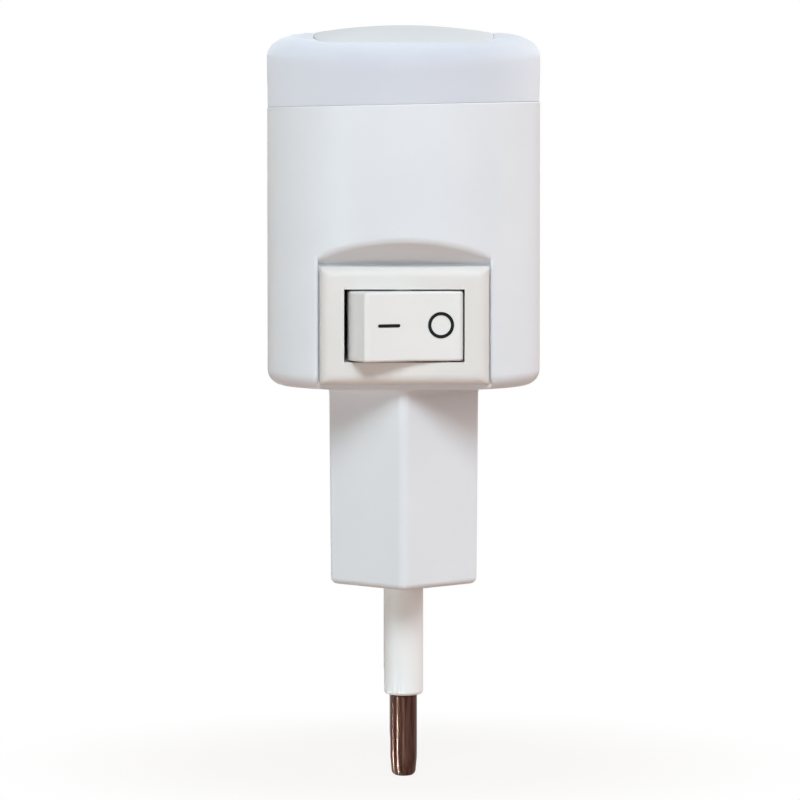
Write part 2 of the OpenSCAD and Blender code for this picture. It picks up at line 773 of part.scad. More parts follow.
module film_capacitor() {
    soft = 0.8;          // radius of its upright edges
    color([0.62, 0.20, 0.14]) {
        translate([0, film_y, board_z - film_h - seat]) {
            translate([-film_w / 2 + soft, -film_l / 2, 0]) cube([film_w - 2 * soft, film_l, film_h]);
            translate([-film_w / 2, -film_l / 2 + soft, 0]) cube([film_w, film_l - 2 * soft, film_h]);
            for (s = [-1, 1], t = [-1, 1]) translate([s * (film_w / 2 - soft), t * (film_l / 2 - soft), 0])
                cylinder(r = soft, h = film_h);
        }
        legs(legs_film, board_z - leg_low);
    }
}

module smoothing_capacitor() {
    groove_r = 0.35;     // rolled groove round the can, above its rubber seal
    groove_up = 1.6;
    color([0.14, 0.16, 0.22]) {
        translate([can_at.x, can_at.y, board_z - seat]) difference() {
            translate([0, 0, -can_h]) cylinder(r = can_d / 2, h = can_h);
            translate([0, 0, -groove_up]) rotate_extrude() translate([can_d / 2, 0]) circle(r = groove_r);
        }
        legs(legs_can, board_z - leg_low);
    }
}

module bridge_rectifier() {
    color([0.10, 0.10, 0.11]) {
        translate([bridge_at.x - bridge_size.x / 2, bridge_at.y - bridge_size.y / 2,
            board_z - bridge_size.z - seat]) cube(bridge_size);
        legs(legs_bridge, board_z - leg_low);
    }
}

module resistor(x, size, ends) {
    z = board_z - resistor_drop;
    translate([x, resistor_y, z]) rotate([90, 0, 0]) {
        cylinder(r = size.x / 2, h = size.y, center = true);
        cylinder(r = leg_r, h = size.y + 2 * resistor_leg, center = true, $fn = 24);
    }
    legs(ends, z);
}
module discharge_resistor() {
    color([0.80, 0.69, 0.48]) resistor(discharge_x, discharge_size, legs_discharge);
}
module fuse_resistor() {
    color([0.45, 0.62, 0.70]) resistor(fuse_x, fuse_size, legs_fuse);
}

// Upper end of a pin's tail, just above its metal
function tail_top(side) =
    let (z = tail_z + seat) [0, side * (pin_pitch / 2 + z * sin(pin_turn)), z];

lead_steps = 4;
lead_y = 1.2;                           // where two leads rise to the board, between its parts
neutral_x = -4.2;
rise = [0, 0, 4];                       // straight run below the board
leave = [0, 0, 3];                      // straight run above a pin
live_route = let (a = tail_top(-1), b = [0, tab_end_y + seat, switch_z], bow = 3.6)
    [a, a + leave, a + [0, bow, 7.5], b + [0, bow, -4.5], b + [0, bow, -1], b + [0, bow / 2, 0], b];
switched_route = let (a = [side_x, tab_end_y + seat, switch_z], b = [side_x, lead_y, board_z - seat])
    [a, a + [0, 1.6, 0], a + [0, 3, 2], [side_x, lead_y, switch_z + 6], b - rise, b];
neutral_route = let (a = tail_top(1), b = [neutral_x, lead_y, board_z - seat])
    [a, a + leave, a + [-1, -2, 8], [neutral_x, 4, switch_z - 2], [neutral_x, lead_y, switch_z + 6],
        b - rise, b];

module lead(route, tint) {
    color(tint) tube(smooth(route, lead_steps), lead_d / 2, 8, [1, 0, 0.02]);
}
module live_lead() { lead(live_route, [0.45, 0.27, 0.16]); }
module switched_lead() { lead(switched_route, [0.75, 0.12, 0.10]); }
module neutral_lead() { lead(neutral_route, [0.13, 0.30, 0.62]); }

housing();
diffuser();
top_lens();
front_sleeve();
rear_sleeve();
front_pin();
rear_pin();
switch_case();
rocker();
dash_mark();
ring_mark();
plunger();
plunger_spring();
contact_lever();
centre_terminal();
side_terminal();
circuit_board();
led_front();
led_middle();
led_rear();
film_capacitor();
smoothing_capacitor();
bridge_rectifier();
discharge_resistor();
fuse_resistor();
live_lead();
switched_lead();
neutral_lead();
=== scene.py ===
"""Looks of a plug-in night light, modelled around its CAD frame.

Pieces are shaped in millimetres and turned into metres when they are finished.
Z is up and the switch faces -Y.
"""

import math

import bmesh
import bpy
from mathutils import Matrix, Vector


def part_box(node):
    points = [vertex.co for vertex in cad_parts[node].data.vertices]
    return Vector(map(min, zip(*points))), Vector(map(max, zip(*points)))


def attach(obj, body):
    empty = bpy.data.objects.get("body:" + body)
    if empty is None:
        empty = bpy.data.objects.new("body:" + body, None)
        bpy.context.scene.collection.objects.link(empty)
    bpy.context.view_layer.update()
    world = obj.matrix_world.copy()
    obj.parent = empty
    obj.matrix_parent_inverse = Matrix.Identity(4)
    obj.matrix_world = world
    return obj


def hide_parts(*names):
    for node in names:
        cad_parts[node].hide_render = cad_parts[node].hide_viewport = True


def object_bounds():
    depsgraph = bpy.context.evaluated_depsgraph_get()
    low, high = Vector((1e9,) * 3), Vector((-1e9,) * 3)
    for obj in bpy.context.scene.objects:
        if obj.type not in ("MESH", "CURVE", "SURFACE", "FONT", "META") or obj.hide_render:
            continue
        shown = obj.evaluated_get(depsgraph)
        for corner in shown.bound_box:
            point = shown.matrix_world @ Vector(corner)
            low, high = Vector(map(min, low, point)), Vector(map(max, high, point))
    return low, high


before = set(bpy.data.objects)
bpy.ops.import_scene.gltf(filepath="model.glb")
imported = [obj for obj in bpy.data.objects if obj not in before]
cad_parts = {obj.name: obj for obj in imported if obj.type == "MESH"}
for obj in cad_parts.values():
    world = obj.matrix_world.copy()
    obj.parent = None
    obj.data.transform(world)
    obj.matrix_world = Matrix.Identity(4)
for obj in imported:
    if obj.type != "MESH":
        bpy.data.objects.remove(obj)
cad_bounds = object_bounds()
MM = 0.001


def box_mm(node):
    low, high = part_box(node)
    return low / MM, high / MM


# ---- Sizes in millimetres, the larger ones read from the CAD nodes ----

shell_low, shell_high = box_mm("housing")
case_low, case_high = box_mm("switch_case")

JOIN = 0.5                          # how far shapes reach into each other before they are joined
PAST = 1                            # how far a cutter reaches past what it cuts
GAP = 0.03                          # between a piece and the one it lies on
POLE = 0.05                         # radius of the flat that closes a turned end

HEAD_W = shell_high.x - shell_low.x
HEAD_D = shell_high.y - shell_low.y
HEAD_R = HEAD_W / 2
END_Y = HEAD_D / 2 - HEAD_R         # centres of the head's round ends
SIDES = 56                          # facets round the head: none ends near the pocket's sides
SHELL_T = 1.8
FOOT_R = 1.5                        # of the head's lower edge
SEAM_SLOPE = math.tan(math.radians(1.2))
SEAM_Z = shell_high.z - HEAD_R * SEAM_SLOPE
SEAM_R = 0.16                       # of the shell's edge at the seam
BOARD_Z = 43                        # where the ribs carry the circuit board
RIB_W = 2
RIB_IN = 1.6                        # how far a rib stands in from the wall
RIB_Y = 6

NECK_H = 19.3
NECK_W = 14.4
NECK_L = 35.3
NECK_R = 0.8                        # of the ridges at its front and rear
NECK_T = 1.7
NECK_FLOOR = 4
NECK_DRAFT = 0.15                   # how far each side leans in, from top to foot
NECK_EDGE = 0.65                    # radius of the foot's edge
FLARE = 0.75                        # concave fillet between neck and head

PIN_PITCH = 18.6
PIN_L = 18.9
PIN_R = 1.3
SHANK_R = 1.1
TIP_PITCH = 17.5
PIN_TURN = math.atan((PIN_PITCH - TIP_PITCH) / 2 / PIN_L)
FLANGE_Z = 4.12                     # flange on the shank, over the neck's floor
TAIL_Z = 9.12                       # inner end of the shank
SLEEVE_R = 1.9
SLEEVE_L = 10.9

POCKET_FLOOR = -18.2                # Y of the panel that carries the switch
POCKET_W = 16.34
POCKET_EDGE = 0.5                   # radius of the pocket's outer edges
ROOF_Z = 31.25                      # of the pocket's roof, at the panel
ROOF_TAN = math.tan(math.radians(30.5))
PANEL_T = 1.6
PANEL_UP = 3.8                      # how far the panel goes on above the roof

CAP_TOP = 53.4
CAP_FALL = 1.7                      # how far the cap's top falls to its front and back
CAP_R = 2.05                        # height of the cap's round top edge
CAP_RUN = (3.9, 1.9)                # width of that edge: mid-side, and past the lens's corners
CAP_RUN_Y = (4, 18)                 # distances from the middle between which that width changes
CAP_T = 1.5
CAP_IN = 0.07                       # how far the cap's wall stands in from the shell's at the seam
CAP_CHAMFER = 0.04
CAP_FULL = 3                        # height over the seam where the wall is as wide as the head
INNER_EDGE = 1                      # chamfer of the cap's inner top edge
PAINTED_LIGHT_FADE = (50.2, 47.2)            # heights between which the cap takes on its paler tone at the seam: painted light, with the top by the lens left in painted shade
SKIRT_H = 2
SKIRT_T = 1.2
SKIRT_FIT = 0.1
SKIRT_RISE = 1.6                    # height over the seam where the wall turns in to the skirt
LENS_W = 17.4
LENS_L = 36
LENS_POWER = 8                      # of the superellipse that is the lens's outline
LENS_T = 0.9
LENS_RISE = 0.75
LEDGE = 0.92                        # share of the lens's outline that its ledge leaves open
LEDGE_DROP = 0.3                    # how far the ledge reaches below the cap's ceiling
RIM_R = 0.12                        # of the edges where cap and lens meet
END_STEPS = 120                     # points on each round end of the cap's outline
SIDE_STEPS = 24                     # points along each straight side

FRAME_Y = -20.1                     # front of the switch's frame
FRAME_R = 1.1
MITRE_R = 0.28                      # of the frame's mitred corners
SWITCH_Z = 25.45
WINDOW_W = 11.4
WINDOW_H = 6.9
WINDOW_R = 0.05                     # of the window's front edge
BODY_W = 13.2
BODY_H = 8.7
BODY_BACK = -7.0                    # rear of the switch's body
BODY_FIT = 0.15                     # room left round the switch's body in the housing
CAVITY_Y = -8.2                     # rear wall of the space inside the body
SLOT_W = 0.56
BLADE_W = 3
SIDE_X = 3.9                        # side terminal, and the stop across from it
STOP_W = 1.6
STOP_Y = -10.3                      # front of the stop, where the contact lever rests
STOP_IN = 0.3                       # how far the stop reaches into the rear wall
CLIP_FIT = 0.075                    # between the clips and the panel they hold
AXLE_Y = -18.5
AXLE_R = 0.9
AXLE_FIT = 0.05
AXLE_HOLE = 0.6                     # depth of the axle's holes in the frame
AXLE_END = 0.45                     # how far the axle reaches into them

TILT_DEG = 17.5                     # of the rocker at rest
ROCKER_R = (5.39, 5.56)             # of the rocker's round ends, left and right
ROCKER_H = 6.62
ROCKER_TIP_R = 0.45
ROCKER_RIM_R = 0.26
CORNER = (4.847, 3.185)             # where the face meets a round end, from the axle
CREASE = 2.504                      # how far the face's fold stands out from the axle
ROUND_END = -24                     # degrees at which a round end stops, behind the axle
STEM_W = 3.6
STEM_END = 5.9
BORE_R = 1.05                       # bore for the plunger, in the stem
BORE_START = 1.2


# ---- Tools for modelling ----

def select_only(obj):
    bpy.ops.object.select_all(action="DESELECT")
    obj.select_set(True)
    bpy.context.view_layer.objects.active = obj


def add(name, primitive, **settings):
    """Adds a primitive, selected by itself and with its place in its mesh."""
    bpy.ops.object.select_all(action="DESELECT")
    primitive(**settings)
    obj = bpy.context.active_object
    obj.name = name
    bpy.ops.object.transform_apply(location=True, rotation=True, scale=True)
    return obj


def block(name, low, high):
    low, high = Vector(low), Vector(high)
    return add(name, bpy.ops.mesh.primitive_cube_add, size=1, location=(low + high) / 2,
               scale=high - low)


def rod(name, low, high, radius, sides=32, half_step=False):
    """Upright cylinder from low to high on the Z axis."""
    turn = math.pi / sides if half_step else 0
    return add(name, bpy.ops.mesh.primitive_cylinder_add, vertices=sides, radius=radius,
               depth=high - low, location=(0, 0, (low + high) / 2), rotation=(0, 0, turn))


def edit(obj):
    select_only(obj)
    bpy.ops.object.mode_set(mode="EDIT")
    bpy.ops.mesh.select_all(action="DESELECT")


def done():
    bpy.ops.object.mode_set(mode="OBJECT")


def pick(kind, test):
    """Selects the vertices, edges or faces in edit mode that pass the test, and no others."""
    bpy.ops.mesh.select_mode(type=kind)
    bpy.ops.mesh.select_all(action="DESELECT")
    mesh = bpy.context.edit_object.data
    shape = bmesh.from_edit_mesh(mesh)
    shape.normal_update()
    parts = {"VERT": shape.verts, "EDGE": shape.edges, "FACE": shape.faces}[kind]
    for part in parts:
        part.select_set(bool(test(part)))
    shape.select_flush_mode()
    bmesh.update_edit_mesh(mesh)


def near(a, b, within=0.01):
    return abs(a - b) < within


def level(z):
    """Test: an edge or face whose vertices are all at height z."""
    return lambda part: all(near(v.co.z, z) for v in part.verts)


def upright(edge):
    return not near(edge.verts[0].co.z, edge.verts[1].co.z, 1)


def reshape(obj, rule):
    """Moves each vertex of obj to rule(place)."""
    for v in obj.data.vertices:
        v.co = rule(v.co.copy())


def round_edges(radius, steps):
    bpy.ops.mesh.bevel(offset=radius, segments=steps, affect="EDGES", clamp_overlap=False)


def slice_off(place, normal):
    """Removes what lies past a plane, on its normal's side, and closes the cut."""
    bpy.ops.mesh.select_all(action="SELECT")
    bpy.ops.mesh.bisect(plane_co=place, plane_no=normal, use_fill=True, clear_outer=True)


def move_y(distance):
    bpy.ops.transform.translate(value=(0, distance, 0))


def widen(x, y, z):
    """Scales the selection at height z about the Z axis."""
    bpy.ops.transform.resize(value=(x, y, 1), center_override=(0, 0, z))


def extrude_up(rise):
    bpy.ops.mesh.extrude_region_move(TRANSFORM_OT_translate={"value": (0, 0, rise)})


def combine(obj, other, operation):
    """Cuts other out of obj, or joins it on, and removes other."""
    step = obj.modifiers.new("combine", "BOOLEAN")
    step.operation = operation
    step.solver = "EXACT"
    step.object = other
    select_only(obj)
    bpy.ops.object.modifier_apply(modifier=step.name)
    bpy.data.objects.remove(other, do_unlink=True)


def cut(obj, other):
    combine(obj, other, "DIFFERENCE")


def fuse(obj, other):
    combine(obj, other, "UNION")


def merge_points(obj):
    """Merges the doubles and slivers that combining shapes leaves."""
    edit(obj)
    bpy.ops.mesh.select_all(action="SELECT")
    bpy.ops.mesh.remove_doubles(threshold=0.002)
    bpy.ops.mesh.dissolve_degenerate(threshold=0.001)
    done()


def point_out(obj):
    edit(obj)
    bpy.ops.mesh.select_all(action="SELECT")
    bpy.ops.mesh.normals_make_consistent(inside=False)
    done()


def finish_piece(obj, body, nodes, material, angle=32):
    """Metres, soft shading, material, body, and the CAD nodes that the piece stands for."""
    reshape(obj, lambda p: p * MM)
    select_only(obj)
    bpy.ops.object.shade_smooth_by_angle(angle=math.radians(angle))
    weigh = obj.modifiers.new("weigh", "WEIGHTED_NORMAL")
    weigh.keep_sharp = True
    weigh.weight = 90
    bpy.ops.object.modifier_apply(modifier=weigh.name)
    obj.data.materials.clear()
    obj.data.materials.append(material)
    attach(obj, body)
    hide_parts(*nodes)


# ---- Forms that several pieces share ----

def oblong(name, inset, low, high):
    """Upright prism with round ends: a cylinder whose halves are moved apart."""
    prism = rod(name, low, high, HEAD_R - inset, SIDES, half_step=True)
    edit(prism)
    for side in (-1, 1):
        pick("VERT", lambda v: side * v.co.y > 0)
        move_y(side * END_Y)
    done()
    return prism


def hexagon(name, half_w, half_l, low, high):
    """Upright six-sided prism with a sharp ridge at each end."""
    prism = rod(name, low, high, 1, 6)

    def corner(p):
        if near(p.x, 0, 0.1):
            return Vector((0, math.copysign(half_l, p.y), p.z))
        return Vector((math.copysign(half_w, p.x), math.copysign(half_l - half_w, p.y), p.z))

    reshape(prism, corner)
    return prism


def prism_of(name, outline, low, high):
    """Upright prism over an outline of points, given anticlockwise."""
    prism = add(name, bpy.ops.mesh.primitive_circle_add, vertices=len(outline), radius=1,
                fill_type="NGON", location=(0, 0, 0))
    for v, (x, y) in zip(prism.data.vertices, outline):
        v.co = (x, y, low)
    edit(prism)
    bpy.ops.mesh.select_all(action="SELECT")
    extrude_up(high - low)
    done()
    point_out(prism)
    return prism


def loft(name, rings, closed=False):
    """Skin over rings of points: a circle is extruded once for each ring, then takes their places.

    A closed skin joins its last ring to its first, and an open one is filled at both ends.
    """
    count = len(rings[0])
    skin = add(name, bpy.ops.mesh.primitive_circle_add, vertices=count, radius=1,
               fill_type="NOTHING", location=(0, 0, 0))
    edit(skin)
    bpy.ops.mesh.select_all(action="SELECT")
    last = len(rings) - 1
    for _ in range(last):
        extrude_up(1)
    if closed:
        pick("EDGE", lambda e: level(0)(e) or level(last)(e))
        bpy.ops.mesh.bridge_edge_loops()
    else:
        for end in (0, last):
            pick("EDGE", level(end))
            bpy.ops.mesh.edge_face_add()
    done()

    def place(p):
        k = round(math.atan2(p.x, p.y) * count / math.tau) % count
        return Vector(rings[round(p.z)][k])

    reshape(skin, place)
    point_out(skin)
    return skin


def turned(name, profile, closed=False):
    """Skin turned about the Z axis from pairs of radius and height."""
    sides = 64
    angles = [math.tau * k / sides for k in range(sides)]
    rings = [[(r * math.sin(a), r * math.cos(a), z) for a in angles] for r, z in profile]
    return loft(name, rings, closed)


def arc(centre, radius, start, end, steps):
    """Points of an arc, with its angles in degrees."""
    angles = [math.radians(start + (end - start) * k / steps) for k in range(steps + 1)]
    return [(centre[0] + radius * math.cos(a), centre[1] + radius * math.sin(a)) for a in angles]


def quarter_turn(steps):
    """Pairs of cosine and sine from 0 to 90 degrees."""
    angles = [math.pi / 2 * k / steps for k in range(steps + 1)]
    return [(math.cos(a), math.sin(a)) for a in angles]


def along_pin(obj, side):
    """Turns and moves a shape made on the Z axis onto the front (-1) or rear (1) pin."""
    turn = Matrix.Rotation(-side * PIN_TURN, 4, "X")
    place = Matrix.Translation((0, side * PIN_PITCH / 2, 0)) @ turn
    reshape(obj, lambda p: place @ p)
    return obj


# ---- Housing ----

def above(y):
    """Height of the pocket's sloping roof at y."""
    return ROOF_Z + (POCKET_FLOOR - y) * ROOF_TAN


def pocket_cutter():
    wall = POCKET_W / 2
    cutter = block("pocket", (-wall, -HEAD_D / 2 - PAST, NECK_H - PAST),
                   (wall, POCKET_FLOOR, SEAM_Z))
    edit(cutter)
    slice_off((0, POCKET_FLOOR, ROOF_Z), (0, ROOF_TAN, 1))
    done()
    return cutter


def is_pocket_side(face):
    return all(near(abs(v.co.x), POCKET_W / 2) for v in face.verts)


def is_pocket_roof(face):
    return all(near(v.co.z, above(v.co.y)) for v in face.verts)


def is_pocket_edge(edge):
    """Edge between the head's outside and the pocket's sides or roof."""
    if len(edge.link_faces) != 2 or any(v.co.y > POCKET_FLOOR - 0.005 for v in edge.verts):
        return False
    first, second = (is_pocket_side(face) or is_pocket_roof(face) for face in edge.link_faces)
    return first != second


def make_head():
    head = oblong("housing_shell", 0, NECK_H, SEAM_Z + PAST)
    edit(head)
    slice_off((0, 0, SEAM_Z), (-SEAM_SLOPE, 0, 1))
    pick("EDGE", lambda e: all(near(v.co.z, SEAM_Z + v.co.x * SEAM_SLOPE) for v in e.verts))
    round_edges(SEAM_R, 3)
    pick("EDGE", level(NECK_H))
    round_edges(FOOT_R, 10)
    done()
    cut(head, pocket_cutter())
    edit(head)
    pick("EDGE", is_pocket_edge)
    round_edges(POCKET_EDGE, 5)
    done()
    return head


def make_neck():
    """Solid neck with its draft, its round edges and the concave flare under the head."""
    slant = math.sqrt(2)                # the ridge's sides run at 45 degrees
    top = NECK_H - FLARE
    neck = hexagon("neck", NECK_W / 2, NECK_L / 2 + NECK_R * (slant - 1), 0, top)
    edit(neck)
    pick("VERT", lambda v: near(v.co.z, 0))
    widen(1 - 2 * NECK_DRAFT / NECK_W, 1 - 2 * NECK_DRAFT * slant / NECK_L, 0)
    pick("EDGE", lambda e: upright(e) and near(e.verts[0].co.x, 0, 0.1))
    round_edges(NECK_R, 6)
    pick("EDGE", lambda e: upright(e) and not near(e.verts[0].co.x, 0, 2))
    round_edges(NECK_R * math.tan(math.pi / 8), 4)
    pick("EDGE", level(0))
    round_edges(NECK_EDGE, 4)
    pick("FACE", level(top))
    out = up = 0
    for cos, sin in quarter_turn(6)[1:]:
        grow, rise = FLARE * (1 - cos) - out, FLARE * sin - up
        width, length = NECK_W + 2 * out, NECK_L + 2 * out * slant
        extrude_up(rise)
        widen(1 + 2 * grow / width, 1 + 2 * grow * slant / length, NECK_H)
        out, up = out + grow, up + rise
    extrude_up(JOIN)
    done()
    cut(neck, block("front", (-NECK_W, -HEAD_D, top - PAST),
                    (NECK_W, POCKET_FLOOR + 0.01, NECK_H + PAST)))
    return neck


def make_cavity():
    """The space inside the head, with the switch panel and the board's four ribs left standing."""
    cavity = oblong("cavity", SHELL_T, NECK_H + SHELL_T, SEAM_Z + PAST)
    wide = POCKET_W / 2 + SHELL_T
    cut(cavity, block("panel", (-wide, -HEAD_D, 0),
                      (wide, POCKET_FLOOR + PANEL_T, ROOF_Z + PANEL_UP)))
    wall = HEAD_R - SHELL_T
    for side in (-1, 1):
        for y in (-RIB_Y, RIB_Y):
            x0, x1 = sorted((side * (wall - RIB_IN), side * (wall + PAST)))
            cut(cavity, block("rib", (x0, y - RIB_W / 2, 0), (x1, y + RIB_W / 2, BOARD_Z - GAP)))
    return cavity


def make_housing(material):
    shell = make_head()
    fuse(shell, make_neck())
    cut(shell, make_cavity())
    inset = NECK_DRAFT + NECK_T
    cut(shell, hexagon("well", NECK_W / 2 - inset, NECK_L / 2 - inset * math.sqrt(2),
                       NECK_FLOOR, NECK_H + SHELL_T + PAST))
    room_x = BODY_W / 2 + BODY_FIT
    room_z = BODY_H / 2 + BODY_FIT
    cut(shell, block("room", (-room_x, POCKET_FLOOR - PAST, SWITCH_Z - room_z),
                     (room_x, BODY_BACK + BODY_FIT, SWITCH_Z + room_z)))
    for side in (-1, 1):
        cut(shell, along_pin(rod("socket", -PAST, NECK_FLOOR / 2, SLEEVE_R + GAP), side))
        cut(shell, along_pin(rod("bore", 0, NECK_FLOOR + PAST, SHANK_R + GAP), side))
    merge_points(shell)
    finish_piece(shell, "light", ["housing"], material)


# ---- Cap and lens ----

def head_outline():
    """Points of the head's outline, from its rear end round by +X, with the Y each is drawn in to."""
    def end(start, turn, steps, middle):
        angles = (start + turn * k / steps for k in range(steps))
        return [((HEAD_R * math.sin(a), HEAD_R * math.cos(a) + middle), middle) for a in angles]

    def side(x, start):
        places = (start - 2 * start * k / SIDE_STEPS for k in range(SIDE_STEPS))
        return [((x, y), y) for y in places]

    right = math.pi / 2
    return (end(0, right, END_STEPS // 2, END_Y) + side(HEAD_R, END_Y)
            + end(right, math.pi, END_STEPS, -END_Y) + side(-HEAD_R, -END_Y)
            + end(-right, right, END_STEPS // 2, END_Y))


HEAD_OUTLINE = head_outline()


def top_z(y):
    """Height of the cap's arched top at y."""
    return CAP_TOP - CAP_FALL * (y / (HEAD_D / 2)) ** 2


def wall_ring(inset, height):
    """Ring of the cap's wall.

    inset is a number or a rule that takes Y, and height a number or a rule that takes X and Y.
    """
    ring = []
    for (x, y), middle in HEAD_OUTLINE:
        share = 1 - (inset(y) if callable(inset) else inset) / HEAD_R
        px, py = x * share, middle + (y - middle) * share
        ring.append((px, py, height(px, py) if callable(height) else height))
    return ring


def seam_ring(inset, up):
    return wall_ring(inset, lambda x, y: SEAM_Z + up + x * SEAM_SLOPE)


def top_ring(inset, down):
    return wall_ring(inset, lambda x, y: top_z(y) - down)


def edge_run(y):
    """Width of the cap's round top edge at y, with a soft turn between its two widths."""
    (start, end), (wide, narrow) = CAP_RUN_Y, CAP_RUN
    share = min(max((abs(y) - start) / (end - start), 0), 1)
    return wide + (narrow - wide) * share * share * (3 - 2 * share)


def lens_ring(grow, share, down):
    """Ring of the lens's outline, a soft-cornered oblong, down below the cap's arched top."""
    ring = []
    for (x, y), _ in HEAD_OUTLINE:
        reach = math.hypot(x, y)
        ux, uy = x / reach, y / reach
        a, b = abs(ux) / (LENS_W / 2 + grow), abs(uy) / (LENS_L / 2 + grow)
        out = share / (a ** LENS_POWER + b ** LENS_POWER) ** (1 / LENS_POWER)
        ring.append((ux * out, uy * out, top_z(uy * out) - down))
    return ring


def make_cap(material):
    skirt_out = SHELL_T + SKIRT_FIT
    skirt_in = skirt_out + SKIRT_T
    rings = [seam_ring(CAP_IN + CAP_CHAMFER, 0), seam_ring(CAP_IN, CAP_CHAMFER),
             wall_ring(0, SEAM_Z + CAP_FULL)]
    for cos, sin in quarter_turn(10):
        rings.append(top_ring(lambda y: edge_run(y) * (1 - cos), CAP_R * (1 - sin)))
    for cos, sin in quarter_turn(3):
        rings.append(lens_ring(GAP + RIM_R * (1 - sin), 1, RIM_R * (1 - cos)))
    rings += [
        lens_ring(GAP, 1, LENS_T + GAP), lens_ring(0, LEDGE, LENS_T + GAP),
        lens_ring(0, LEDGE, CAP_T + LEDGE_DROP),
        top_ring(CAP_T + INNER_EDGE, CAP_T), top_ring(CAP_T, CAP_T + INNER_EDGE),
        wall_ring(CAP_T, SEAM_Z + SKIRT_RISE), wall_ring(skirt_in, SEAM_Z),
        wall_ring(skirt_in, SEAM_Z - SKIRT_H), wall_ring(skirt_out, SEAM_Z - SKIRT_H),
        seam_ring(skirt_out, 0),
    ]
    cap = loft("cap", rings, closed=True)
    finish_piece(cap, "light", ["diffuser"], material, angle=40)


def make_lens(material):
    rings = [lens_ring(0, s, LENS_T) for s in (0.05, 0.25, 0.5, 0.75, LEDGE, 1)]
    for cos, sin in quarter_turn(3):
        rings.append(lens_ring(-RIM_R * (1 - cos), 1, RIM_R * (1 - sin)))
    for s in (0.97, 0.94, 0.9, 0.85, 0.8, 0.74, 0.68, 0.61,
              0.54, 0.46, 0.38, 0.3, 0.22, 0.14, 0.07, 0.02):
        rings.append(lens_ring(0, s, -LENS_RISE * (1 - s * s)))
    lens = loft("lens", rings)
    finish_piece(lens, "light", ["top_lens"], material, angle=50)


# ---- Pins and sleeves ----

def make_sleeve(side, name, node, material):
    """Sleeve with a soft lower edge and a small fillet that tucks into the neck's foot."""
    soft, flare = 0.4, 0.26
    bore, top = SHANK_R + GAP, NECK_FLOOR / 2 - GAP
    profile = [(bore, -SLEEVE_L)] + arc((SLEEVE_R - soft, soft - SLEEVE_L), soft, -90, 0, 6)
    profile += arc((SLEEVE_R + flare, -flare - 0.01), flare, 180, 90, 5)
    profile += [(SLEEVE_R + flare * 0.6, 0.02), (SLEEVE_R, 0.25), (SLEEVE_R, top), (bore, top)]
    sleeve = along_pin(turned(name, profile, closed=True), side)
    finish_piece(sleeve, "light", [node], material)


def make_pin(side, name, node, material):
    """Pin with a round nose and a slight taper, and the shank that holds it in the neck."""
    nose, taper, taper_l, ease = 0.55, 0.12, 1.9, 0.15
    edge, tail_edge, flange = 0.08, 0.2, 1
    tip_r, flange_r = PIN_R - taper, SHANK_R + flange
    shoulder, taper_z = -SLEEVE_L - GAP, taper_l - PIN_L
    profile = [(POLE, -PIN_L)] + arc((tip_r - nose, nose - PIN_L), nose, -90, 0, 10)
    profile += [(PIN_R - 0.01, taper_z - ease), (PIN_R, taper_z + ease),
                (PIN_R, shoulder - edge), (PIN_R - edge, shoulder),
                (SHANK_R, shoulder), (SHANK_R, FLANGE_Z),
                (flange_r, FLANGE_Z), (flange_r, FLANGE_Z + flange), (SHANK_R, FLANGE_Z + flange),
                (SHANK_R, TAIL_Z - tail_edge), (SHANK_R - tail_edge, TAIL_Z), (POLE, TAIL_Z)]
    pin = along_pin(turned(name, profile), side)
    finish_piece(pin, "light", [node], material)


# ---- Switch ----

def clip(side):
    """Spring clip on one end of the switch body: a wedge that rises towards the panel."""
    catch = POCKET_FLOOR + PANEL_T + CLIP_FIT
    length, stand_out, slope, root = 3, 0.5, 2.4, 1.2
    wedge = block("clip", (0, catch, -BLADE_W / 2), (stand_out + JOIN, catch + length, BLADE_W / 2))
    edit(wedge)
    pick("VERT", lambda v: v.co.x > 0.1 and v.co.y > catch + 1)
    move_y(-slope)
    pick("VERT", lambda v: v.co.x < 0.1 and v.co.y > catch + 1)
    move_y(root)
    done()
    reshape(wedge, lambda p: Vector((side * (BODY_W / 2 - JOIN + p.x), p.y, SWITCH_Z + p.z)))
    point_out(wedge)
    return wedge


